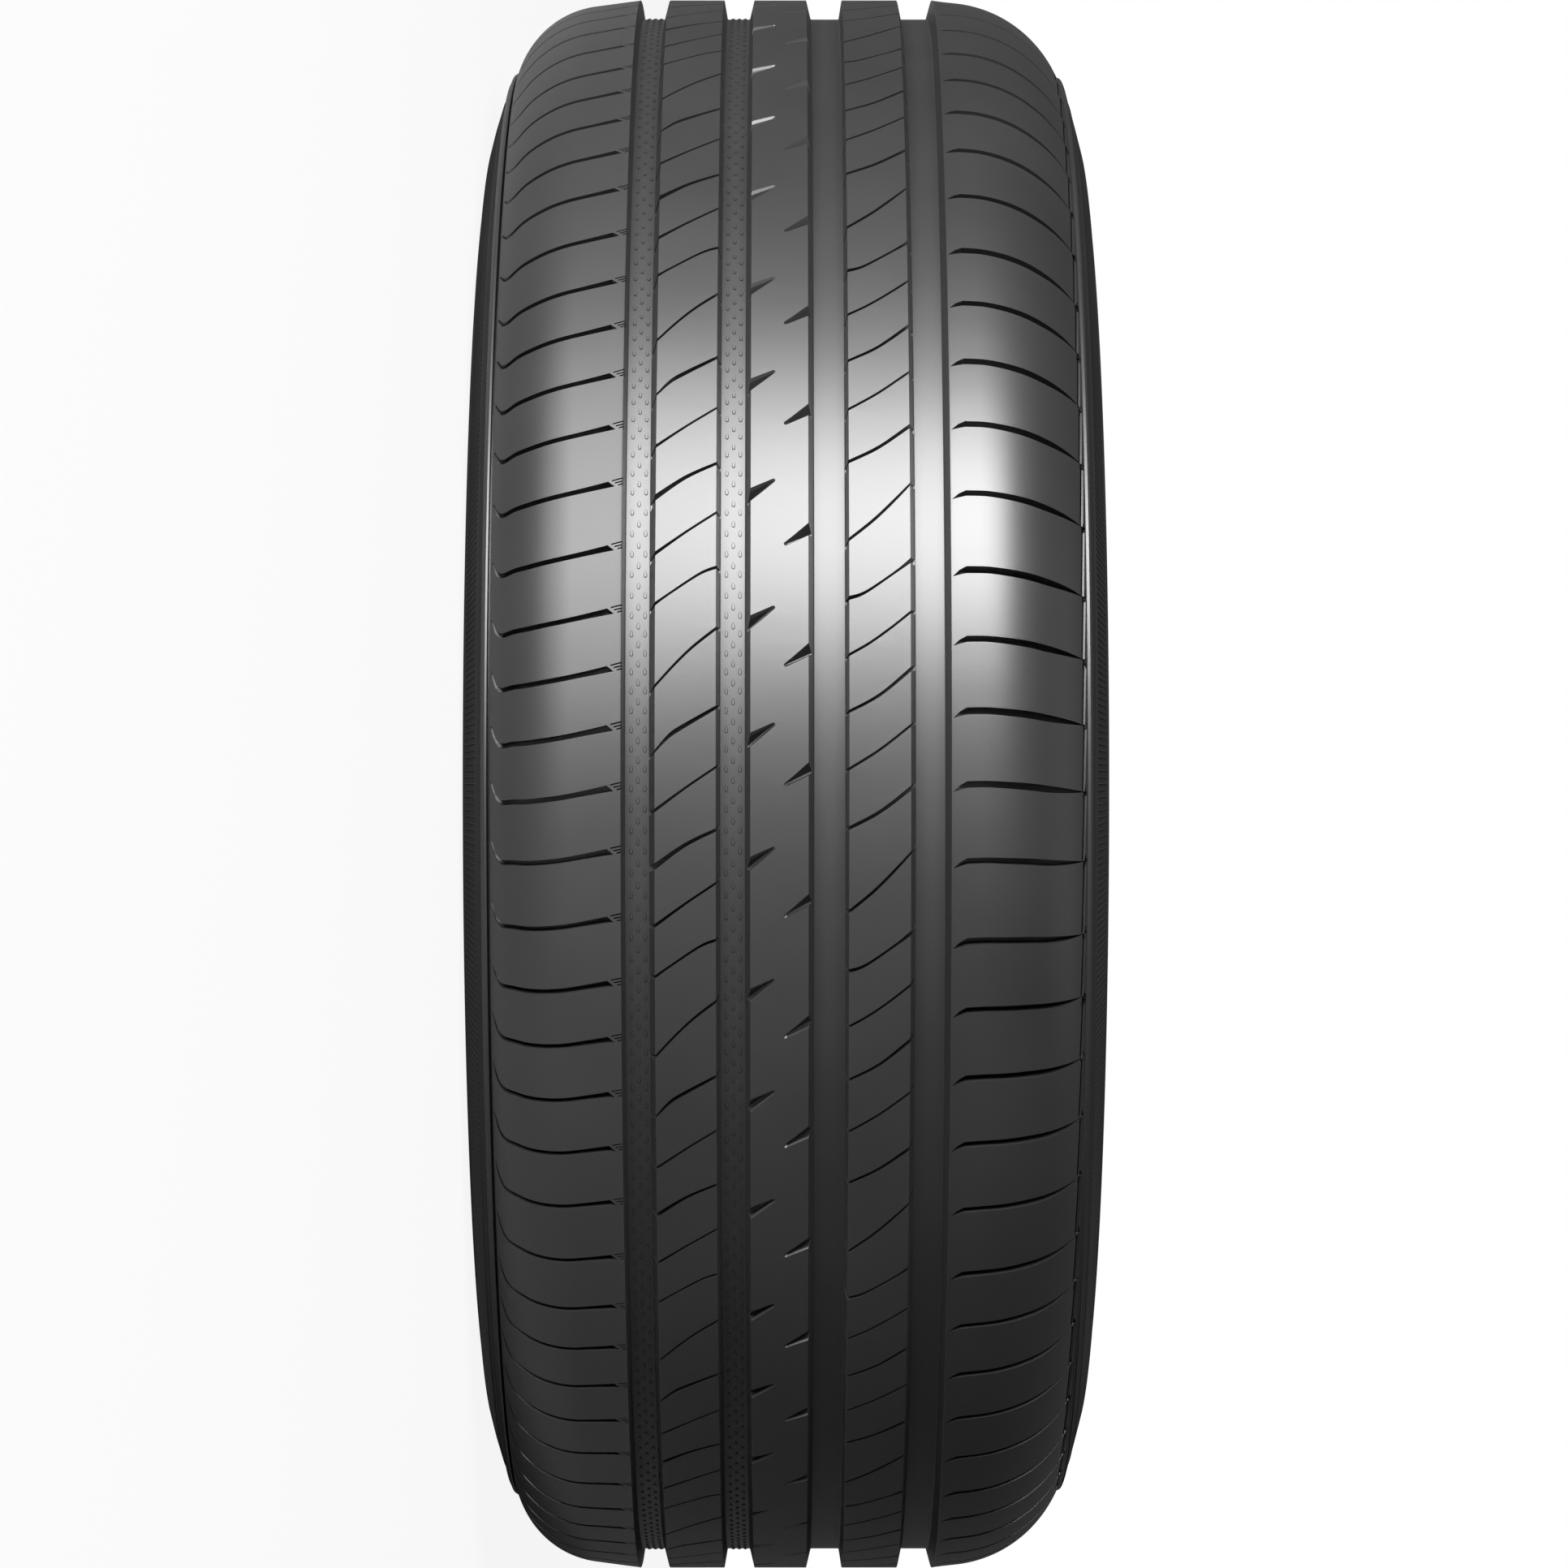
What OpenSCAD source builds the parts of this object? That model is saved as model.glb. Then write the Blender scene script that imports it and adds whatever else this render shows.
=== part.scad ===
// Car tyre, 235/45 R17 summer size, with an asymmetric tread pattern.
// It lies on the sidewall of its plain shoulder, with the wheel's axis along +Z.

/* [Overall size] */
// Outside diameter over the tread
overall_d = 643.3; // [630:0.1:660]
// Overall width over the flange protectors
overall_w = 238.5; // [236:0.1:246]
// Diameter of the rim's bead seats
seat_d = 436.6; // [434:0.1:438]
// Distance between the outer faces of the two beads
bead_span = 207; // [203:0.5:212]
// Width of each bead's sole on the rim
sole_w = 17; // [14:0.5:19]

/* [Tread section] */
// Distance of each main groove's middle from the centre-plane
groove_at = [-53, -18.9, 15.4, 51.9]; // [-56:0.1:56]
// Width of each main groove at the tread surface
groove_w = [12, 12.2, 14.4, 14.6]; // [9:0.1:17]
// Depth of the main grooves
groove_depth = 7.7; // [6:0.1:8.5]
// How far each groove wall leans in over its depth
groove_lean = 1.3; // [0.6:0.1:2]
// Radius at the foot of the groove walls
groove_foot_r = 1.2; // [0.6:0.1:1.6]
// Thickness from the tread surface to the inner liner
crown_t = 16.6; // [14:0.1:19]

/* [Shoulders] */
// Distance of the tread's flat edge from the centre-plane
flat_edge = 58.6; // [58:0.1:59]
// Fall of the tread outside the flat, in degrees
edge_fall = 7.2; // [5:0.1:9]
// Radius of the left shoulder, the one with the hooked grooves
left_r = 36.8; // [35:0.1:38]
// Distance of the left shoulder arc's centre from the centre-plane
left_at = 72.5; // [72:0.1:73.5]
// Radius of the right shoulder, the one with the wide grooves
right_r = 49.8; // [49:0.1:51]
// Distance of the right shoulder arc's centre from the centre-plane
right_at = 63.9; // [63:0.1:65]

/* [Sidewalls] */
// Radius at which the sidewall meets the flange protector
crest_r = 255.5; // [254:0.5:258]
// Width of the flat crest of the protector
crest_w = 8; // [5:0.5:10]
// Radius of the sidewall's outer curve
wall_r = 120; // [112:1:130]
// Radius of the ring below the left shoulder
left_ring_r = 292; // [291:0.1:293]
// Radius of the ring below the right shoulder
right_ring_r = 290.3; // [289.5:0.1:291]
// Distance of the rings' outer corners from the centre-plane
ring_x = [109.3, 111.3]; // [109:0.1:112]

/* [Tread pattern] */
// Number of times the pattern repeats round the tyre
repeats = 15; // [13:1:17]
// Turn of the first repeat from the tyre's front
pattern_turn = 19.9; // [0:0.1:24]
// Shares of one repeat between the grooves of the left shoulder
left_pitch = [4.35, 4.2, 3.75, 3.8, 3.85, 4.05]; // [3:0.05:5.5]
// Shares of one repeat between the sipes of the second rib
rib2_pitch = [3.4, 3.7, 4, 5.1, 3.8, 4]; // [3:0.05:5.5]
// Shares of one repeat between the sipes of the fourth rib
rib4_pitch = [5.2, 3.4, 3.7, 3.6, 4, 4.1]; // [3:0.05:5.5]
// Shares of one repeat between the grooves of the right shoulder
right_pitch = [5.2, 4.55, 4.65, 4.7, 4.9]; // [4:0.05:6]
// Start of the rows in a repeat: left shoulder, second rib, fourth rib, right shoulder
row_start = [0, 1.2, -0.2, -0.8]; // [-3:0.1:3]
// Width of the left shoulder's grooves
left_groove_w = 1.9; // [1.4:0.1:2.4]
// Widths of the right shoulder's grooves, one after another
right_groove_w = [2.2, 2.7, 2.3, 2.6, 2.4]; // [1.6:0.1:3]
// Depth of the shoulder grooves
shoulder_depth = 5.6; // [4:0.1:6.5]
// Width of the sipes in the second and fourth ribs
sipe_w = 1; // [0.7:0.1:1.5]
// Depth of the sipes in the second and fourth ribs
sipe_depth = 6.2; // [4:0.1:6.4]
// Length of the notches in the middle rib
notch_l = 9.1; // [6:0.1:10]
// How far a notch's mouth lies along the tread from its tip
notch_rise = 3.2; // [1:0.1:4]
// Height of a notch's mouth at the rib's edge
notch_h = 5.3; // [3:0.1:6.5]
// Depth of a notch at the rib's edge
notch_depth = 5.2; // [3:0.1:6.5]

/* [Hidden] */
rubber = [0.07, 0.07, 0.075];
round_fn = 240;
past = 3;
outer_r = overall_d / 2;
half_w = overall_w / 2;
seat_r = seat_d / 2;
floor_r = outer_r - groove_depth;
fall = tan(edge_fall);
sector = 360 / repeats;

// Where each shoulder arc starts, tangent to the falling edge of the tread.
function arc_top(at, r) = at + r * sin(edge_fall);
function arc_rise(at, r) = outer_r - (arc_top(at, r) - flat_edge) * fall - r * cos(edge_fall);
left_centre = arc_rise(left_at, left_r);
right_centre = arc_rise(right_at, right_r);
left_edge = [107.4, 294];
right_edge = [109.4, 291.2];

function arc(centre, r, from, to, steps) =
    [for (i = [0:steps]) let (a = from + (to - from) * i / steps)
        [centre[0] + r * cos(a), centre[1] + r * sin(a)]];
function flipped(points) = [for (i = [len(points) - 1:-1:0]) [-points[i][0], points[i][1]]];
function sum_to(list, n) = n <= 0 ? 0 : list[n - 1] + sum_to(list, n - 1);
// Angles of a row's features in one repeat, running down the tread as the photographed side shows it.
function row_angles(pitch, start) =
    [for (i = [0:len(pitch) - 1]) sector * (start / 24 - sum_to(pitch, i) / sum_to(pitch, len(pitch)))];

// A curve from one point to another that leans toward a third.
function bend(from, toward, to, steps) =
    [for (i = [0:steps]) let (t = i / steps)
        (1 - t) * (1 - t) * from + 2 * t * (1 - t) * toward + t * t * to];

// Outer face of one side, from below the shoulder's ring to the bead's toe, for the +x side.
wall_centre = [half_w - wall_r * cos(6.8), crest_r - wall_r * sin(6.8)];
bead_x = bead_span / 2;
heel_r = 4;
crest_foot = crest_r - crest_w;
function side_face() = concat(
    [[wall_centre[0] + wall_r * cos(21), wall_centre[1] + wall_r * sin(21)]],
    arc(wall_centre, wall_r, 17.3, 6.8, 3),
    [[half_w, crest_r - 0.6], [half_w, crest_foot + 0.6]],
    bend([half_w - 1.5, crest_foot - 2], [bead_x + 3, crest_foot - 6], [bead_x, seat_r + 12], 4),
    arc([bead_x - heel_r, seat_r + heel_r], heel_r, 0, -90, 3),
    [[bead_x - sole_w, seat_r], [bead_x - sole_w - 1.4, seat_r + 1.3]]);

// Inner face of one side, from the bead's toe to the middle of the crown, for the +x side.
liner_r = outer_r - crown_t;
function side_liner() = concat(
    [[bead_x - 15.5, seat_r + 7.5]],
    arc([77, 262], 32, -38, 24, 6),
    arc([70, liner_r - 32], 32, 26, 90, 6));

// Radius of the crown: flat in the middle, falling toward each shoulder.
function crown_r(x) = outer_r - max(0, abs(x) - flat_edge) * fall;

// A main groove with leaning walls and rounded feet, walked from the -x side to the +x side.
function groove_points(at, w) =
    let (half = w / 2, foot = half - groove_lean, r = groove_foot_r, slope = atan(groove_lean / groove_depth),
        right_side = concat(arc([foot - r, floor_r + r], r, -90, -slope, 2), [[half, outer_r]]),
        both = concat(flipped(right_side), right_side))
    [for (p = both) [p[0] + at, min(p[1], crown_r(p[0] + at))]];

// A shoulder from the flat tread to its outer corner, for the +x side.
function shoulder_points(at, centre, r, edge) =
    arc([at, centre], r, 90 - edge_fall, atan2(edge[1] - centre, edge[0] - at), 6);

// The whole section: each point is the distance from the centre-plane and the radius.
function section_points() = concat(
    groove_points(groove_at[0], groove_w[0]),
    groove_points(groove_at[1], groove_w[1]),
    groove_points(groove_at[2], groove_w[2]),
    groove_points(groove_at[3], groove_w[3]),
    shoulder_points(right_at, right_centre, right_r, right_edge),
    [[right_edge[0] + 0.3, right_ring_r], [ring_x[1], right_ring_r]],
    side_face(),
    side_liner(),
    flipped(side_liner()),
    flipped(side_face()),
    [[-ring_x[0], left_ring_r], [-ring_x[0] + 0.9, left_ring_r]],
    [[-left_edge[0] - 0.9, left_ring_r - 1.6], [-left_edge[0] - 0.1, left_ring_r - 1.6]],
    flipped(shoulder_points(left_at, left_centre, left_r, left_edge)));

module carcass() {
    rotate_extrude($fn = round_fn) polygon([for (p = section_points()) [p[1], p[0]]]);
}

// Puts a cutter, drawn flat with x along the axle and y up the tread, on the tread at one angle.
module on_tread(angle, r) {
    rotate([0, 0, -90 - angle]) translate([r, 0, 0]) rotate(180, [1, 0, 1]) children();
}

// A row of the pattern: the same shape at each angle of each repeat.
module row(angles, r) {
    for (n = [0:repeats - 1])
        for (k = [0:len(angles) - 1])
            on_tread(pattern_turn + angles[k] - n * sector, r) children();
}

// A groove seen from above: points hold place along the axle, place up the tread, and width.
function ribbon(points) = concat(
    [for (p = points) [p[0], p[1] + p[2] / 2]],
    [for (i = [len(points) - 1:-1:0]) [points[i][0], points[i][1] - points[i][2] / 2]]);

// Cuts a prism short at the depth of the shoulder grooves; the shape is the shoulder's own, lowered.
module to_depth(at, centre, r, edge, deep_end) {
    d = shoulder_depth;
    inner = r - d;
    turn = atan2(edge[1] - centre, edge[0] - at);
    intersection() {
        linear_extrude(60) children();
        translate([0, 30, 0]) rotate([90, 0, 0]) linear_extrude(60) polygon(
            [for (p = concat(
                [[flat_edge - 2, outer_r - d], [arc_top(abs(at), inner), centre + inner * cos(edge_fall)]],
                arc([abs(at), centre], inner, 60, turn + 14, 1),
                [[abs(at) + (r - deep_end) * cos(turn - 6), centre + (r - deep_end) * sin(turn - 6)],
                [150, edge[1]], [150, outer_r + 5], [flat_edge - 2, outer_r + 5]])) [sign(at) * p[0], p[1] - tread_base]]);
    }
}
tread_base = outer_r - 50;

// The hooked groove of the left shoulder.
module hook_groove() {
    w = left_groove_w;
    to_depth(-left_at, left_centre, left_r, left_edge, 3) polygon(ribbon([
        [-106.8, 1, 0.2], [-104, -5, 1.1 * w], [-101.5, -6.95, 1.1 * w], [-81.5, -4.85, w], [-64, -1.3, w],
        [-61.5, -2.25, 0.3]]));
}

// The wide groove of the right shoulder, with a knee near the main groove and a pointed outer end.
module blade_groove(w) {
    to_depth(right_at, right_centre, right_r, right_edge, 1.5) polygon(ribbon([
        [59.9, -2.6, 0.1], [64.8, 0, w], [86.4, -0.8, 1.1 * w], [107.3, -2.95, 0.2]]));
}

module shoulder_grooves() {
    row(row_angles(left_pitch, row_start[0]), tread_base) hook_groove();
    a = row_angles(right_pitch, row_start[3]);
    for (k = [0:len(a) - 1]) row([a[k]], tread_base) blade_groove(right_groove_w[k]);
}

// The curved sipe of the second or fourth rib: rise is how far it climbs across the rib.
module rib_sipe(from, to, rise, bow, w_from, w_to) {
    reach = 2;
    mid = (from + to) / 2;
    slope = rise / (to - from);
    linear_extrude(past + sipe_depth) polygon(ribbon([
        [from - reach, -rise - reach * slope, w_from],
        [mid - (to - from) / 6, -rise * 2 / 3 + bow, (w_from + sipe_w) / 2],
        [mid + (to - from) / 6, -rise / 3 + bow, (w_to + sipe_w) / 2],
        [to + reach, reach * slope, w_to]]));
}

rib2 = [groove_at[0] + groove_w[0] / 2, groove_at[1] - groove_w[1] / 2];
rib3 = [groove_at[1] + groove_w[1] / 2, groove_at[2] - groove_w[2] / 2];
rib4 = [groove_at[2] + groove_w[2] / 2, groove_at[3] - groove_w[3] / 2];
rib2_rise = [14, 15.8, 13.2, 21.2, 16, 15];
rib4_rise = [21.5, 13.5, 15, 15.5, 14, 14.5];

module rib_sipes() {
    a2 = row_angles(rib2_pitch, row_start[1]);
    a4 = row_angles(rib4_pitch, row_start[2]);
    for (k = [0:len(a2) - 1])
        row([a2[k]], outer_r - sipe_depth)
            rib_sipe(rib2[0], rib2[1], rib2_rise[k], 1.2, k % 2 == 0 ? 1.6 * sipe_w : sipe_w, 0.8 * sipe_w);
    for (k = [0:len(a4) - 1])
        row([a4[k]], outer_r - sipe_depth)
            rib_sipe(rib4[0], rib4[1], rib4_rise[k], -1.2, sipe_w, k % 2 == 1 ? 1.5 * sipe_w : 0.8 * sipe_w);
}

// A wedge-shaped notch, drawn from its tip, that opens into the main groove beside the middle rib.
// Its floor falls from the tip to the groove.
module notch(side) {
    edge = side < 0 ? rib3[0] : rib3[1];
    tip = edge - side * notch_l;
    near = notch_rise;
    far = notch_rise + notch_h;
    beyond = edge + side * 2;
    reach = (notch_l + 2) / notch_l;
    intersection() {
        linear_extrude(notch_depth + past) polygon([
            [beyond, side * near * reach], [beyond, side * far * reach],
            [tip + side * 0.1, side * 0.7], [tip - side * 0.5, 0], [tip + side * 0.2, side * -0.6]]);
        translate([0, 20, 0]) rotate([90, 0, 0]) linear_extrude(40) polygon([
            [beyond, 0], [edge - side * notch_l / 4, 0], [tip - side * 0.5, notch_depth - 0.8],
            [tip - side * 0.5, notch_depth + past], [beyond, notch_depth + past]]);
    }
}

module notches() {
    a = row_angles(left_pitch, row_start[0]);
    row([a[0], a[2], a[4]], outer_r - notch_depth) notch(-1);
    row([a[1], a[3], a[5]], outer_r - notch_depth) notch(1);
}

// The slanted step between the ends of two neighbouring grooves of the right shoulder.
module tooth(length) {
    half = length / 2 - 0.4;
    shift = 0.35;
    rotate([-5.2, 0, 0]) linear_extrude(12) polygon([
        [107.3 + shift, half], [113, half], [113, -half], [107.3 - shift, -half]]);
}

module teeth() {
    a = row_angles(right_pitch, row_start[3]);
    for (k = [0:len(a) - 1]) {
        span = sector * right_pitch[k] / sum_to(right_pitch, len(right_pitch));
        ring_r = right_edge[1] + 1.6;
        row([a[k] - span / 2 - 0.55], ring_r) tooth(ring_r * span * PI / 180);
    }
}

module tyre() {
    color(rubber) translate([0, 0, half_w]) difference() {
        carcass();
        shoulder_grooves();
        rib_sipes();
        notches();
        teeth();
    }
}

tyre();
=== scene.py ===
import bpy
import math
from mathutils import Matrix, Vector


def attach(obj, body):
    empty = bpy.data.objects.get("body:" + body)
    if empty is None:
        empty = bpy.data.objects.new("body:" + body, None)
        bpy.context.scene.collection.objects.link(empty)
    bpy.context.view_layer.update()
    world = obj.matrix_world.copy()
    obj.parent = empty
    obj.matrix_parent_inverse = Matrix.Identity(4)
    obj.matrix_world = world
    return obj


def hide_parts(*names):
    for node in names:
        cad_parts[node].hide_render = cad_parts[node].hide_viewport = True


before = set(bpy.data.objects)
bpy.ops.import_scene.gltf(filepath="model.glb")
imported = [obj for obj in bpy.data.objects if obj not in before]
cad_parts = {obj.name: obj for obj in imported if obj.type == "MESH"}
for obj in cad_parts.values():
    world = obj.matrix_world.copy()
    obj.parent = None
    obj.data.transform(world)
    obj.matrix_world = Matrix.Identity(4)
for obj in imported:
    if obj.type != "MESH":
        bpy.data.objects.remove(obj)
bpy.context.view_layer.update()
bpy.ops.object.select_all(action='DESELECT')


# Carcass: plies, belts and bead wires under one skin of rubber, vulcanised in a mould. It has
# both sidewalls with their flange protectors and raised lines, the two beads and the airtight
# liner, and closes under the tread. Its section is drawn in mm and turned round the axle.
middle = 119.25     # place of the tread's centre line along the axle
tread_r = 321.65    # radius of the tread
floor_r = 313.95    # radius of the main grooves' floors
round_steps = 360   # steps of a turned section, one to a degree


def colour(code):
    """An sRGB hex colour as linear values."""
    parts = [int(code[i:i + 2], 16) / 255 for i in (1, 3, 5)]
    return [c / 12.92 if c <= 0.04045 else ((c + 0.055) / 1.055) ** 2.4 for c in parts] + [1]


def add(tree, kind, links=(), **settings):
    """A node with its settings and the links into it: (input, node, output)."""
    made = tree.nodes.new(kind)
    for key, value in settings.items():
        if key.startswith("in_"):
            name = key[3:]
            socket = made.inputs[int(name) if name.isdigit() else name.replace("_", " ")]
            socket.default_value = value
        else:
            setattr(made, key, value)
    for socket, source, output in links:
        tree.links.new(source.outputs[output], made.inputs[socket])
    return made


def rubber(name, dark, light, grain, patch, bumps, rough, ior, gloss):
    """Moulded rubber between two shades: a fine grain in the skin, and patches where the mould
    release left it lighter and duller. Sizes are in metres."""
    material = bpy.data.materials.new(name)
    material.use_nodes = True
    tree = material.node_tree
    tree.nodes.clear()
    place = add(tree, "ShaderNodeTexCoord")
    fine = add(tree, "ShaderNodeTexNoise", [("Vector", place, "Object")],
               in_Scale=1 / grain, in_Detail=2.0)
    cloud = add(tree, "ShaderNodeTexNoise", [("Vector", place, "Object")],
                in_Scale=1 / patch, in_Detail=3.0)
    tone = add(tree, "ShaderNodeValToRGB", [("Fac", cloud, "Fac")])
    for stop, position, shade in zip(tone.color_ramp.elements, (0.3, 0.75), (dark, light)):
        stop.position = position
        stop.color = colour(shade)
    dull = add(tree, "ShaderNodeMapRange", [("Value", cloud, "Fac")], in_3=rough[0], in_4=rough[1])
    bump = add(tree, "ShaderNodeBump", [("Height", fine, "Fac")],
               in_Strength=bumps, in_Distance=0.0001)
    skin = add(tree, "ShaderNodeBsdfPrincipled", [
        ("Base Color", tone, "Color"), ("Roughness", dull, "Result"), ("Normal", bump, "Normal")],
        in_IOR=ior, in_Specular_IOR_Level=gloss)
    add(tree, "ShaderNodeOutputMaterial", [("Surface", skin, "BSDF")])
    return material


# Sidewall rubber: softer and blacker than the tread's, moulded with a dull skin that drinks the
# light. Its grain is drawn 1 mm wide, coarser than the real one, so that it shows.
sidewall_skin = rubber("sidewall_rubber_moulded", "#141414", "#181818", grain=0.001, patch=0.08,
                       bumps=0.1, rough=(0.85, 0.85), ior=1.45, gloss=0.2)


def curve_through(points, steps):
    """Points on a smooth line through the given ones, the ends kept."""
    made = []
    last = len(points) - 1
    for i in range(last):
        near = (points[max(i - 1, 0)], points[i], points[i + 1], points[min(i + 2, last)])
        for k in range(steps):
            t = k / steps
            made.append(tuple(
                0.5 * (2 * q + (r - p) * t + (2 * p - 5 * q + 4 * r - s) * t * t
                       + (3 * q - p - 3 * r + s) * t ** 3)
                for p, q, r, s in zip(*near)))
    return made + [tuple(points[-1])]


def arc(x, r, radius, start, end, steps):
    """Points on an arc about (x, r), from one angle to another in degrees."""
    angles = [math.radians(start + (end - start) * i / steps) for i in range(steps + 1)]
    return [(x + radius * math.cos(a), r + radius * math.sin(a)) for a in angles]


def across(points, r):
    """Where a sidewall's surface lies across the tyre at a radius."""
    for (x0, r0), (x1, r1) in zip(points, points[1:]):
        if r1 <= r <= r0:
            return x0 + (x1 - x0) * (r0 - r) / (r0 - r1)


def lined(points):
    """A sidewall's surface with its two raised lines, each 1.2 mm wide and 0.3 mm high."""
    made = list(points)
    for r in (282.0, 264.5):
        made = [p for p in made if abs(p[1] - r) > 0.9]
        made += [(across(points, r + 0.6), r + 0.6), (across(points, r) + 0.3, r),
                 (across(points, r - 0.6), r - 0.6)]
    return sorted(made, key=lambda p: -p[1])


def face_outwards():
    """Turns the faces of the active piece outwards."""
    bpy.ops.object.mode_set(mode='EDIT')
    bpy.ops.mesh.select_all(action='SELECT')
    bpy.ops.mesh.normals_make_consistent(inside=False)
    bpy.ops.object.mode_set(mode='OBJECT')


def turned(name, outline):
    """A closed section of (place across the tread, radius) in mm, spun round the axle."""
    bpy.ops.mesh.primitive_circle_add(vertices=len(outline), radius=1, fill_type='NOTHING')
    ring = bpy.context.object
    ring.name = name
    for vertex, (x, r) in zip(ring.data.vertices, outline):
        vertex.co = (0, -r / 1000, (middle + x) / 1000)
    bpy.ops.object.mode_set(mode='EDIT')
    bpy.ops.mesh.select_all(action='SELECT')
    bpy.ops.mesh.spin(steps=round_steps, angle=2 * math.pi, center=(0, 0, 0), axis=(0, 0, 1))
    bpy.ops.mesh.select_all(action='SELECT')
    bpy.ops.mesh.remove_doubles(threshold=1e-6)
    face_outwards()
    return ring


def pick(pieces):
    """Selects just these pieces, the first of them active."""
    bpy.ops.object.select_all(action='DESELECT')
    for piece in pieces:
        piece.select_set(True)
    bpy.context.view_layer.objects.active = pieces[0]


def finish_piece(piece, material, crease=20):
    """Smooth faces with crisp edges, the finish, and the ride on the tyre."""
    pick([piece])
    bpy.ops.object.shade_smooth_by_angle(angle=math.radians(crease))
    bpy.ops.object.modifier_add(type='WEIGHTED_NORMAL')
    piece.modifiers[-1].keep_sharp = True
    bpy.ops.object.modifier_apply(modifier=piece.modifiers[-1].name)
    piece.data.materials.clear()
    piece.data.materials.append(material)
    piece.select_set(False)
    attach(piece, "root")
    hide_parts("tyre")


# the sidewalls from the shoulder down to the protector, the left one starting a little lower
side = curve_through([(112.2, 286.6), (114.5, 277.4), (116.8, 269.4), (118.1, 263.8),
                      (118.7, 260.2), (119.0, 257.2)], 3)
left_side = curve_through([(111.9, 284.8), (114.5, 277.0), (116.7, 269.4), (118.0, 263.8),
                           (118.6, 260.2), (119.0, 257.2)], 3)
# the protector's flat crest, the hollow under it, two fitting lines, the heel, sole and toe
bead = ([(119.22, 255.6), (119.25, 255.2), (119.25, 248.3), (118.9, 247.2)]
        + curve_through([(117.6, 245.4), (112.3, 242.4), (108.3, 239.3), (105.5, 235.4)], 3)
        + [(105.5, 234.9), (105.3, 234.6), (104.4, 234.3), (103.9, 232.4), (103.5, 230.0),
           (103.5, 228.4), (103.8, 228.0), (103.5, 227.6), (103.5, 226.2), (103.8, 225.8),
           (103.5, 225.4)]
        + arc(99.5, 222.3, 4, 0, -90, 5)
        + [(86.6, 218.32), (85.5, 218.8), (85.1, 219.8), (88.0, 225.8)])
liner = arc(77, 262, 32, -38, 24, 8) + arc(70, 273.05, 32, 26, 90, 9)
under_right = [(75, 310.0), (87, 303.8), (97, 296.0), (103.5, 290.6), (108.5, 290.5),
               (110.7, 290.4), (111.1, 290.15), (111.5, 289.3)]
under_left = [(-111.05, 289.0), (-108.2, 285.5), (-104.5, 284.5), (-97, 293.5), (-90, 301.0),
              (-80, 306.5), (-68, 310.5)]
carcass = turned(
    "carcass",
    [(-58.4, floor_r - 1), (58.4, floor_r - 1)] + under_right + lined(side) + bead + liner
    + [(-x, r) for x, r in reversed(bead + liner)]
    + [(-x, r) for x, r in reversed(lined(left_side))] + under_left)
finish_piece(carcass, sidewall_skin)


# Tread base: the thin layer of tread rubber that joins the five ribs and shows as the floors of
# the main grooves. It is extruded in one strip with them, wrapped round the belts and moulded.

# Tread rubber: hard and filled with carbon black, from a bead-blasted mould, so it is satin. Its
# grain is drawn 0.8 mm wide, coarser than the real one, so that it shows.
tread_skin = rubber("tread_rubber_moulded", "#171717", "#1b1b1b", grain=0.0008, patch=0.06,
                    bumps=0.12, rough=(0.37, 0.4), ior=1.6, gloss=0.5)
tread_base = turned(
    "tread_base", [(-61, floor_r), (61, floor_r), (61, floor_r - 2), (-61, floor_r - 2)])
finish_piece(tread_base, tread_skin)


# Left shoulder rib: the outer rib of the tread, cut by hooked grooves that stop short of the main
# groove and meet it only through three fine slits. A ring with a narrow slot beside it ends the
# tread. It is tread rubber, and its grooves are moulded by thin steel blades.
sector = 24                                    # degrees in one repeat of the pattern
base_turn = 19.9                               # turn of the pattern's first groove, in degrees
left_pitches = [4.35, 4.2, 3.75, 3.8, 3.85, 4.05]  # lengths of a repeat's blocks, in degrees
fall_from = 58.6                               # where both shoulders start to fall away
fall = math.tan(math.radians(7.2))             # and how steeply
left_bow = (-72.5, 282.7, 36.8)                # the rounded part: its centre and its radius


def rib_wall(edge, foot, out):
    """The wall of a rib from its lip to the groove's floor; out is the side of the groove."""
    return [(edge - out * 0.14, tread_r - 0.005), (edge - out * 0.02, tread_r - 0.06),
            (edge + out * 0.04, tread_r - 0.24), (foot - out * 0.07, floor_r + 0.4),
            (foot + out * 0.05, floor_r + 0.11), (foot + out * 0.25, floor_r + 0.01),
            (foot + out * 0.25, floor_r - 0.8)]


def tread_point(x, t, r, turn):
    """A place on the tread: across it, up it in mm from a turn in degrees, and the radius."""
    angle = math.radians(turn) + t / tread_r
    return Vector((-r * math.sin(angle), -r * math.cos(angle), middle + x)) / 1000


def next_ring(piece):
    """Extrudes what is selected in place, and gives the new vertices to be moved."""
    before = len(piece.data.vertices)
    bpy.ops.object.mode_set(mode='EDIT')
    bpy.ops.mesh.extrude_region_move(TRANSFORM_OT_translate={"value": (0, 0, 0)})
    bpy.ops.object.mode_set(mode='OBJECT')
    return piece.data.vertices[before:]


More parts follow.
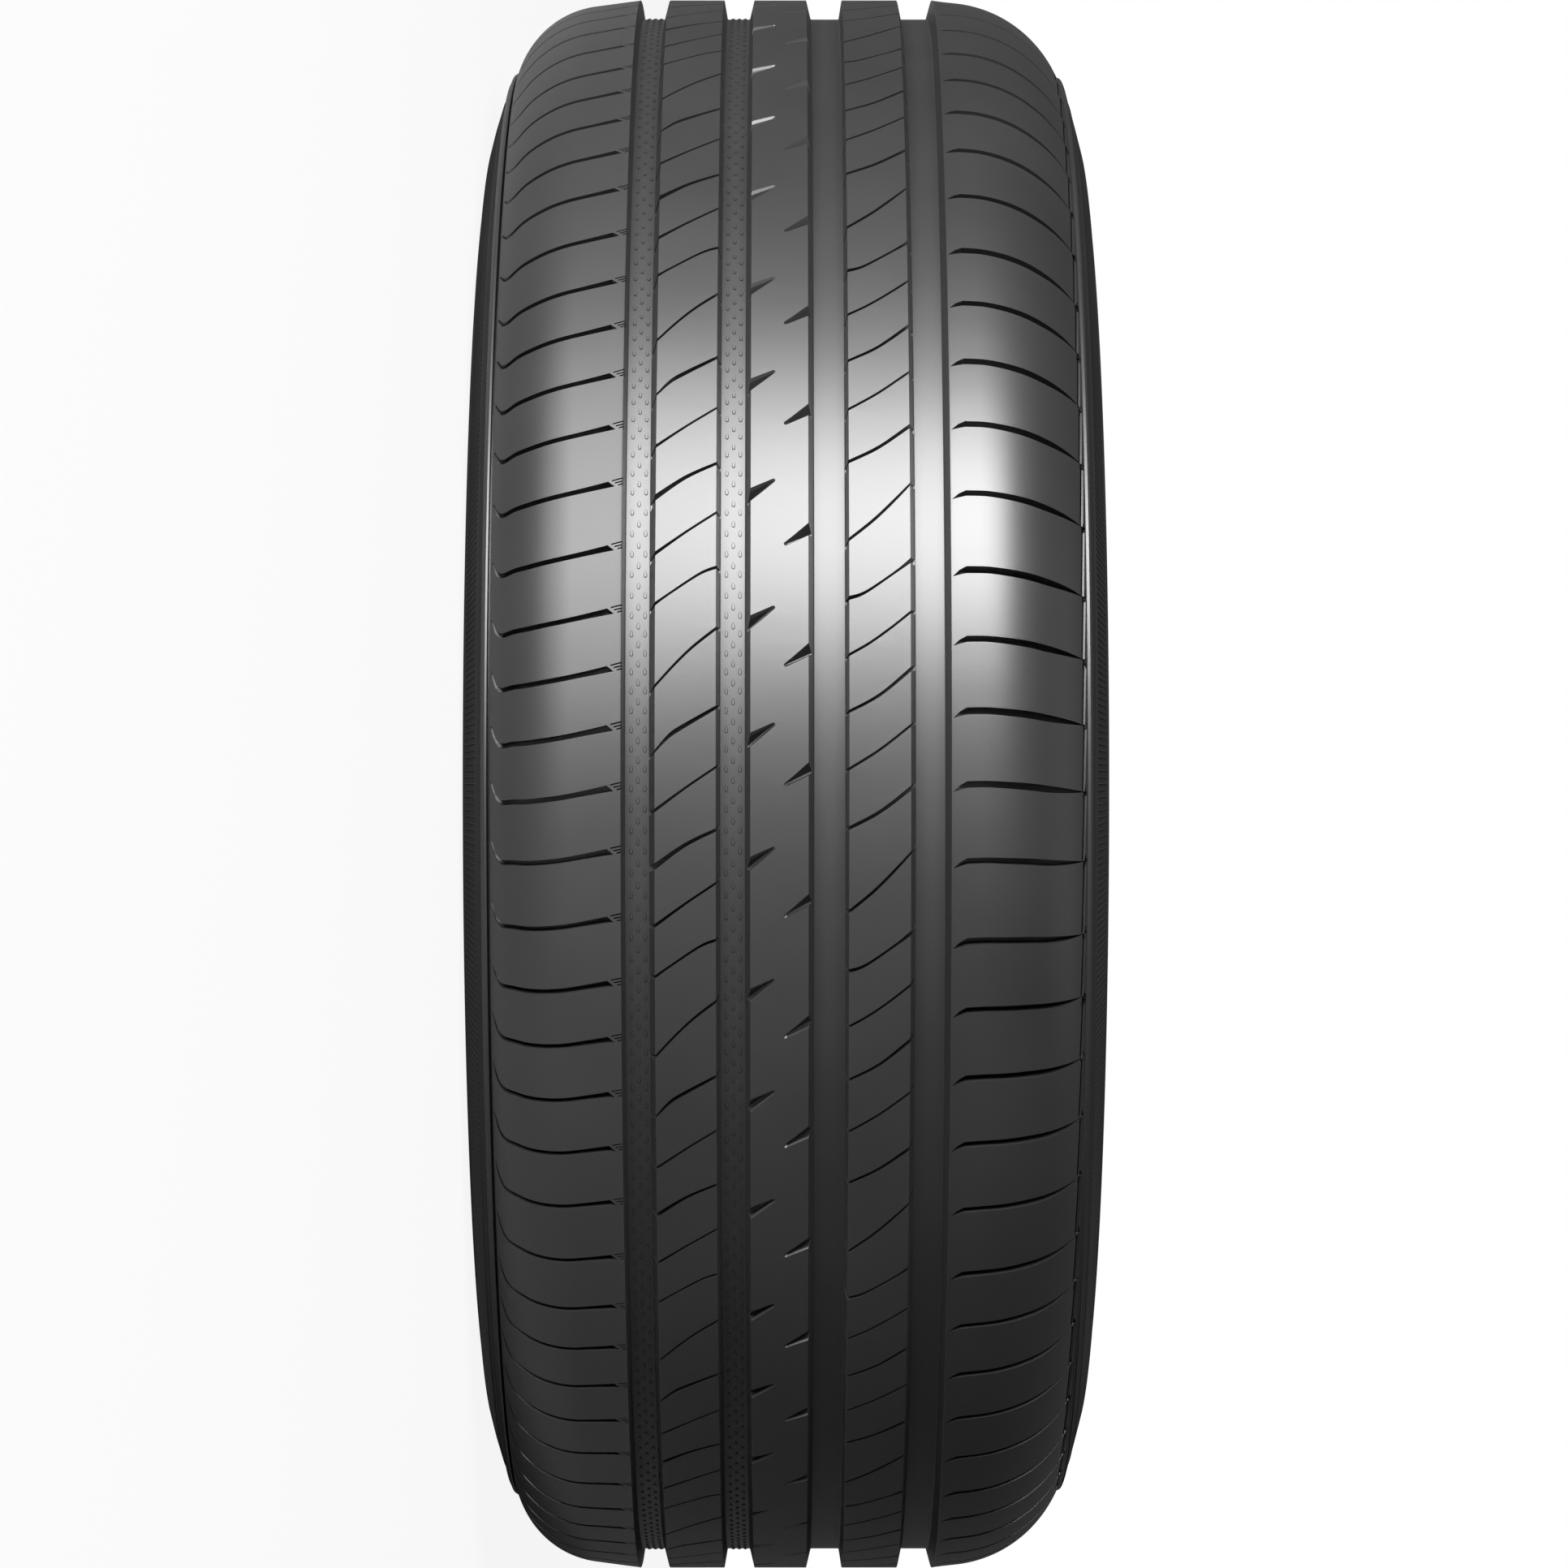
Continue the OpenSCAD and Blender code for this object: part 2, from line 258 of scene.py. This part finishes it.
def blade(stations, turn):
    """A mould blade along a groove. Each station is (x, t, floor radius) of one lip, the same of
    the other, and a radius above the tread."""
    bpy.ops.mesh.primitive_grid_add(x_subdivisions=len(stations) - 1, y_subdivisions=1, size=1)
    made = bpy.context.object
    rows = sorted(made.data.vertices, key=lambda v: (round(v.co.y, 3), round(v.co.x, 3)))
    tops = {}
    for lip, first in ((rows[:len(stations)], 0), (rows[len(stations):], 3)):
        for vertex, station in zip(lip, stations):
            x, t, r = station[first:first + 3]
            tops[vertex.index] = (x, t, station[6])
            vertex.co = tread_point(x, t, r, turn)
    for vertex in next_ring(made):
        below = min(tops, key=lambda i: (made.data.vertices[i].co - vertex.co).length)
        x, t, top = tops[below]
        vertex.co = tread_point(x, t, top, turn)
    face_outwards()
    return made


def all_round(tools, name):
    """The tools of one repeat of the pattern, copied for all repeats and joined."""
    pick(tools)
    if len(tools) > 1:
        bpy.ops.object.join()
    one = bpy.context.object
    copies = [one]
    for n in range(1, 360 // sector):
        pick([one])
        bpy.ops.object.duplicate()
        copy = bpy.context.object
        copy.data.transform(Matrix.Rotation(math.radians(sector * n), 4, 'Z'))
        copies.append(copy)
    pick(copies)
    bpy.ops.object.join()
    one.name = name
    return one


def cut(piece, tools):
    """Takes the joined tools out of a piece."""
    pick([piece])
    bpy.ops.object.modifier_add(type='BOOLEAN')
    step = piece.modifiers[-1]
    step.operation = 'DIFFERENCE'
    step.solver = 'MANIFOLD'
    step.object = tools
    bpy.ops.object.modifier_apply(modifier=step.name)
    bpy.data.objects.remove(tools, do_unlink=True)


def turns(pitches, start):
    """The turn of each groove of a row within one repeat, in degrees, from the shares it takes."""
    whole = sum(pitches)
    return [base_turn + start - sector * sum(pitches[:i]) / whole for i in range(len(pitches))]


def left_r(x):
    """Radius of the left shoulder's surface."""
    if x > -77.1:
        return tread_r - (-fall_from - min(x, -fall_from)) * fall
    centre, height, radius = left_bow
    return height + math.sqrt(radius ** 2 - (x - centre) ** 2)


# the ring beside the shoulder, with the slot between them
left_ring = [(-105.8, 283.8), (-108.2, 285.8), (-110.9, 289.2), (-109.95, 291.5),
             (-109.35, 292.0), (-108.65, 292.0), (-108.45, 291.8), (-108.4, 286.7),
             (-107.5, 286.7), (-107.5, 293.2), (-107.35, 293.9)]
left_shoulder = turned(
    "left_shoulder_rib",
    left_ring + list(reversed(arc(*left_bow, 97.2, 161.5, 22)))
    + [(-62, tread_r - 0.44), (-59.6, tread_r - 0.14)] + rib_wall(-59.0, -57.8, 1)
    + [(-66, 311), (-80, 305.5), (-90, 300), (-97.5, 291.5)])

# a hooked groove from its curled outer end inwards: (across, up) of each lip, and its depth
hook = curve_through([
    (-106.55, 1.2, -106.85, 0.96, 1.0), (-105.3, -2.35, -105.9, -2.8, 2.2),
    (-104.4, -4.3, -105.2, -4.9, 3.4), (-103.1, -5.6, -104.2, -6.6, 4.6),
    (-101.6, -5.95, -102.2, -7.85, 6.0), (-98.1, -5.5, -98.1, -7.4, 7.0),
    (-92.3, -5.25, -92.3, -7.2, 6.6), (-81.5, -3.9, -81.5, -5.8, 6.0),
    (-72.7, -2.2, -72.2, -4.1, 5.8), (-64.1, -0.25, -61.65, -2.25, 5.6)], 3)
# the slits between its inner end and the main groove: (across, up) of both ends
slits = [((-62.75, -0.03), (-57.0, 1.31)), ((-61.6, -0.9), (-57.0, 0.07)),
         ((-60.5, -1.75), (-57.0, -0.87))]
slit_floor = tread_r - 3.2
slit_half = 0.26
left_turns = turns(left_pitches, 0)
tools = []
for turn in left_turns:
    stations = []
    for xa, ta, xb, tb, depth in hook:
        r = left_r((xa + xb) / 2)
        stations.append((xa, ta, r - depth, xb, tb, r - depth, r + 4))
    tools.append(blade(stations, turn))
    for ends in slits:
        tools.append(blade([(x, t + slit_half, slit_floor, x, t - slit_half, slit_floor,
                             tread_r + 2) for x, t in ends], turn))
cut(left_shoulder, all_round(tools, "left_blades"))
finish_piece(left_shoulder, tread_skin)


# Second rib: tread rubber crossed by curved sipes, slits about 1 mm wide, six in each repeat and
# one of them longer and steeper, so that the blocks between them differ in length and hum less.
# Thin steel blades in the mould make them.
def rib_outline(left, left_foot, right, right_foot):
    """A rib's section between two main grooves, from the places of its lips and wall feet."""
    return list(reversed(rib_wall(left, left_foot, -1))) + rib_wall(right, right_foot, 1)


sipe_floor = tread_r - 7.5
sipe_past = 3.6  # a sipe's blade goes on over both groove walls


def sipe(points, turn):
    """A sipe from points of (x, t, width), drawn from the rib's far edge. It runs at about 45
    degrees, so it measures 1.4 times its width up the tread."""
    line = curve_through(points, 5)
    (x0, t0, w0), (x1, t1, w1) = line[0], line[1]
    (x2, t2, w2), (x3, t3, w3) = line[-1], line[-2]
    line = ([(x0 - sipe_past, t0 - sipe_past * (t1 - t0) / (x1 - x0), w0)] + line
            + [(x2 + sipe_past, t2 + sipe_past * (t3 - t2) / (x3 - x2), w2)])
    return blade([(x, t + w * 0.7, sipe_floor, x, t - w * 0.7, sipe_floor, tread_r + 1)
                  for x, t, w in line], turn)


second_rib = turned("second_rib", rib_outline(-47.0, -48.9, -25.0, -23.7))
second_pitches = [3.4, 3.7, 4.0, 5.1, 3.8, 4.0]
second_sipes = [
    [(-47, -13.4, 1.8), (-36.2, -5.6, 1.2), (-24.8, 0, 0.9)],
    [(-47, -15.7, 1.15), (-36, -7.6, 0.8), (-24.8, 0, 0.75)],
    [(-47, -13.7, 1.0), (-42.6, -10.4, 0.75), (-31, -2.5, 0.8), (-24.8, 0, 0.9)],
    [(-47, -21.2, 0.95), (-40.3, -13.7, 0.95), (-33.3, -6.8, 0.95), (-24.8, 0, 0.95)],
    [(-47, -16.0, 0.8), (-41.8, -10.3, 1.3), (-36.2, -6.6, 1.3), (-24.8, 0, 1.0)],
    [(-47, -15.7, 1.0), (-36, -7.6, 0.75), (-24.8, 0, 0.7)]]
tools = [sipe(points, turn) for points, turn in zip(second_sipes, turns(second_pitches, 1.2))]
cut(second_rib, all_round(tools, "second_blades"))
finish_piece(second_rib, tread_skin)


# Middle rib: tread rubber that runs unbroken round the tyre for steady steering. Wedge notches
# with chamfered rims, moulded in one with it, open into the grooves on either side in turn.
middle_edges = {-1: -12.8, 1: 8.2}
middle_rib = turned("middle_rib", rib_outline(middle_edges[-1], -14.6, middle_edges[1], 10.0))
# levels of a notch on either side: the strip at the bottom along its lower side, the foot of its
# chamfer, and the brim above the tread. Each has its tip (across, up), the places up the rib's
# edge that its two long sides reach, and the tip's radius.
notch_levels = {
    -1: ((7.9, 0.45, 6.9, 7.5, 0.15), (8.1, 0.4, 4.4, 7.7, 0.3), (9.35, -0.1, 3.0, 8.1, 0.85)),
    1: ((7.9, 0.45, 3.9, 4.5, 0.15), (8.1, 0.4, 3.7, 7.1, 0.3), (9.35, -0.1, 3.3, 8.4, 0.85))}
notch_past = 2.2  # how far a notch's blade reaches out over the main groove
tip_points = 6


def notch(side_of, turn):
    """A notch's blade, its three levels joined from the bottom up, deepest at the rib's edge."""
    edge = middle_edges[side_of]
    levels = []
    for tip, up, near, far, rounding in notch_levels[side_of]:
        outline = [(-notch_past, up + (to - up) * (tip + notch_past) / tip) for to in (near, far)]
        lean_far, lean_near = (math.degrees(math.atan2(to - up, tip)) for to in (far, near))
        for i in range(tip_points):
            sweep = (180 - lean_far + lean_near) * i / (tip_points - 1)
            a = math.radians(90 - lean_far - sweep)
            outline.append((tip - rounding + rounding * math.cos(a), up + rounding * math.sin(a)))
        levels.append(outline)
    bpy.ops.mesh.primitive_circle_add(vertices=2 + tip_points, radius=1, fill_type='NGON')
    made = bpy.context.object
    floors = [tread_r - 1.6 - 2.8 * min(1, max(0, (7.8 - x) / 7.8)) for x, _ in levels[0]]
    for vertex, (x, t), r in zip(made.data.vertices, levels[0], floors):
        vertex.co = tread_point(edge - side_of * x, side_of * t, r, turn)
    for outline, r in ((levels[1], tread_r - 0.8), (levels[2], tread_r + 0.3)):
        for vertex, (x, t) in zip(next_ring(made), outline):
            vertex.co = tread_point(edge - side_of * x, side_of * t, r, turn)
    face_outwards()
    return made


tools = [notch(-1 if i % 2 == 0 else 1, turn) for i, turn in enumerate(left_turns)]
cut(middle_rib, all_round(tools, "notch_blades"))
finish_piece(middle_rib, tread_skin, 15)


# Fourth rib: tread rubber with sipes like the second rib's, moulded by the same kind of blades but
# turned end for end, so they steepen to the right.
fourth_rib = turned("fourth_rib", rib_outline(22.6, 21.4, 44.8, 46.4))
fourth_pitches = [5.2, 3.4, 3.7, 3.6, 4.0, 4.1]
fourth_sipes = [
    [(22.8, -21.5, 1.0), (31, -14.7, 1.1), (38.1, -7.65, 1.1), (45.1, 0, 0.85)],
    [(22.8, -14.2, 1.1), (28.6, -12.1, 0.9), (39.6, -4.4, 0.8), (45.1, 0, 1.5)],
    [(22.8, -15.8, 0.8), (30, -11.6, 0.8), (38, -5.8, 0.8), (45.1, 0, 0.85)],
    [(22.8, -15.5, 0.85), (33.6, -9.6, 1.0), (45.1, 0, 1.3)],
    [(22.8, -15.8, 0.8), (33.6, -9.0, 0.8), (45.1, 0, 0.8)],
    [(22.8, -14.5, 1.0), (33.6, -8.8, 1.1), (45.1, 0, 1.3)]]
tools = [sipe(points, turn) for points, turn in zip(fourth_sipes, turns(fourth_pitches, -0.2))]
cut(fourth_rib, all_round(tools, "fourth_blades"))
finish_piece(fourth_rib, tread_skin)


# Right shoulder rib: tread rubber with wide moulded grooves, five in each repeat, each with a knee
# near the main groove and a pointed outer end. A slanted step runs from each end to the next and
# makes a saw-tooth edge above the ring that ends the tread.
right_pitches = [5.2, 4.55, 4.65, 4.7, 4.9]
right_widths = (2.2, 2.75, 2.3, 2.6, 2.4)
right_bow = (63.9, 270.9, 49.8)
right_ring = [(109.5, 290.65), (110.7, 290.37), (111.15, 290.1), (111.4, 289.5), (106, 286.6)]
right_shoulder = turned(
    "right_shoulder_rib",
    list(reversed(rib_wall(59.2, 57.2, -1))) + [(60.2, tread_r - 0.2), (64, tread_r - 0.68)]
    + arc(*right_bow, 82.8, 24.6, 24) + right_ring + [(97, 293), (87, 302), (75, 309)])


def right_r(x):
    """Radius of the right shoulder's surface."""
    if x < 70.1:
        return tread_r - (max(x, fall_from) - fall_from) * fall
    centre, height, radius = right_bow
    return height + math.sqrt(radius ** 2 - (x - centre) ** 2)


# a wide groove from the knee outwards: across, up the tread to both lips, and its depth
knee_x = 64.8
knee = curve_through([
    (knee_x, -3.6, -5.75, 5.7), (69.5, -3.45, -5.6, 5.8), (74.2, -3.5, -5.7, 5.9),
    (86.4, -4.2, -6.7, 6.4), (94.4, -5.2, -7.7, 6.8), (102.2, -6.4, -8.0, 5.6),
    (107.3, -7.45, -7.75, 2.6)], 3)
right_turns = turns(right_pitches, 0.0)
tools = []
for turn, width in zip(right_turns, right_widths):
    grow = (width - right_widths[0]) / 2
    line = [(60.0, -7.1, -7.3, 4.4), (62.2, -5.0 + grow / 2, -6.5 - grow / 2, 5.2)]
    for x, up, down, depth in knee:
        wider = grow * (1 - (x - knee_x) / 46)
        line.append((x, up + wider, down - wider, depth))
    tools.append(blade([(x, up, right_r(x) - depth, x, down, right_r(x) - depth, right_r(x) + 4)
                        for x, up, down, depth in line], turn))
cut(right_shoulder, all_round(tools, "right_blades"))

# the step is a steep wall, a narrow land and a slope down to the ring, with a pocket at its top
step_top = 305        # radius that the step's blades reach up to
pocket_floor = 289.5
tools = []
for turn, pitch in zip(right_turns, right_pitches):
    length = math.radians(sector * pitch / sum(right_pitches)) * tread_r - 0.5
    wall, land, slope = [], [], []
    for share in [i / 6 for i in range(7)]:
        x, t = 107.65 - 0.68 * share, -7.75 - length * share
        r = right_r(x + 1.45) - 0.05
        wall.append((x, t, right_r(x) - 0.05, x + 0.6, t, r - 0.6, step_top))
        land.append((x + 0.55, t, r + 0.15, x + 1.5, t, r - 0.15, step_top))
        slope.append((x + 1.45, t, r, 109.6, t, 290.6, step_top))
    pocket = [(x, up, pocket_floor, x, down, pocket_floor, step_top)
              for x, up, down in ((107.3, -7.4, -7.7), (108.1, -7.5, -8.7), (109.3, -8.0, -8.8))]
    tools += [blade(stations, turn) for stations in (wall, land, slope, pocket)]
cut(right_shoulder, all_round(tools, "step_blades"))
finish_piece(right_shoulder, tread_skin, 12)


# Pips: raised drop-shaped marks on the floors of the two left grooves, three staggered columns in
# each and three rows to each pitch of the left shoulder. They are tread rubber, moulded with the
# floor from drops engraved in the mould.
pip_height = 0.35


def pip(x, turn):
    """One pip, 1.4 by 2.9 mm with a flat top, its point up the tread."""
    bpy.ops.mesh.primitive_circle_add(vertices=8, radius=1, fill_type='NGON')
    made = bpy.context.object
    plan = [(math.sin(a) * 0.7 * (1 - 0.25 * math.cos(a)), math.cos(a) * 1.45)
            for a in (math.radians(45 * i) for i in range(8))]
    for vertex, (u, t) in zip(made.data.vertices, plan):
        vertex.co = tread_point(x + u, t, floor_r - 0.1, turn)
    for vertex, (u, t) in zip(next_ring(made), plan):
        vertex.co = tread_point(x + u * 0.68, t * 0.84, floor_r + pip_height, turn)
    return made


tools = []
for turn, pitch in zip(left_turns, left_pitches):
    for groove_x in (-53.05, -18.95):
        for share in (0.06, 0.39, 0.73):
            tools.append(pip(groove_x - 2.45, turn - pitch * share))
            tools.append(pip(groove_x + 2.45, turn - pitch * share))
            tools.append(pip(groove_x, turn - pitch * (share + 0.19)))
pips = all_round(tools, "groove_pips")
face_outwards()
finish_piece(pips, tread_skin, 50)


# Sidewall ridges: a serrated band between the two raised lines of each sidewall, 720 fine radial
# ridges on each side. They are sidewall rubber, from lines cut into the mould, and hide the marks
# that the joints of the plies leave.
ridge_radii = (280.6, 273.2, 265.9)
ridges_in_sector = 48


def ridge(side_points, side_of, turn):
    """One ridge with a triangular section, 1.4 mm wide and 0.25 mm high, along the sidewall."""
    bpy.ops.mesh.primitive_circle_add(vertices=3, radius=1, fill_type='NGON')
    made = bpy.context.object
    for r in ridge_radii:
        x = across(side_points, r)
        ring = made.data.vertices if r == ridge_radii[0] else next_ring(made)
        for vertex, (t, rise) in zip(ring, ((-0.7, -0.3), (0, 0.25), (0.7, -0.3))):
            vertex.co = tread_point(side_of * (x + rise), t * tread_r / r, r, turn)
    return made


tools = []
for n in range(ridges_in_sector):
    turn = n * sector / ridges_in_sector
    tools += [ridge(side, 1, turn), ridge(left_side, -1, turn)]
ridges = all_round(tools, "sidewall_ridges")
face_outwards()
finish_piece(ridges, sidewall_skin)


# Studio: a pale card floor and an even white room for the camera. One tall soft lamp stands beside
# the camera, on the side that is above it in the picture, and a weak lamp hangs over the tyre. The
# floor casts no shadow, so that the lower half of the tall lamp lights the tyre too.
bpy.ops.mesh.primitive_plane_add(size=12, location=(0, 0, 0))
floor = bpy.context.object
floor.name = "floor"
pale = bpy.data.materials.new("floor_pale_card")
pale.use_nodes = True
tree = pale.node_tree
tree.nodes.clear()
seen = add(tree, "ShaderNodeLightPath")
card = add(tree, "ShaderNodeBsdfDiffuse", in_Color=colour("#b0b0b0"))
glow = add(tree, "ShaderNodeEmission", in_Color=(1, 1, 1, 1), in_Strength=1.0)
share = add(tree, "ShaderNodeMath", [(0, seen, "Is Camera Ray")], operation='MULTIPLY', in_1=0.9)
mixed = add(tree, "ShaderNodeMixShader",
            [(0, share, "Value"), (1, card, "BSDF"), (2, glow, "Emission")])
add(tree, "ShaderNodeOutputMaterial", [("Surface", mixed, "Shader")])
floor.data.materials.append(pale)
floor.visible_shadow = False

room = bpy.data.worlds.new("room")
bpy.context.scene.world = room
room.use_nodes = True
tree = room.node_tree
tree.nodes.clear()
seen = add(tree, "ShaderNodeLightPath")
level = add(tree, "ShaderNodeMapRange", [("Value", seen, "Is Camera Ray")], in_3=0.11, in_4=1.0)
sky = add(tree, "ShaderNodeBackground", [("Strength", level, "Result")], in_Color=(1, 1, 1, 1))
add(tree, "ShaderNodeOutputWorld", [("Surface", sky, "Background")])


def lamp(name, place, aim, size, power):
    """A rectangular soft lamp that faces a point, its sizes in metres and its power in watts."""
    bpy.ops.object.light_add(type='AREA', location=place)
    made = bpy.context.object
    made.name = name
    made.data.shape = 'RECTANGLE'
    made.data.size, made.data.size_y = size
    made.data.energy = power
    made.rotation_euler = (Vector(aim) - Vector(place)).to_track_quat('-Z', 'Y').to_euler()


lamp("front_lamp", (-1.89, -2.65, 0.12), (0, 0, 0.12), (1.6, 4.3), 590)
lamp("top_lamp", (0, 0.2, 3.4), (0, 0, 0.1), (2, 2), 5)

# the camera stands square to the tread, turned on its side so that the tyre stands upright
camera_place = (0, -2.316, middle / 1000)
bpy.ops.object.camera_add(location=camera_place)
camera = bpy.context.object
camera.data.sensor_width = 36
camera.data.lens = 128.28
camera.data.shift_x = -0.00124
turned_camera = Matrix(((0, -1, 0), (0, 0, -1), (1, 0, 0))).to_4x4()
camera.matrix_world = Matrix.Translation(camera_place) @ turned_camera
bpy.context.scene.camera = camera
bpy.context.scene.view_settings.view_transform = 'Standard'
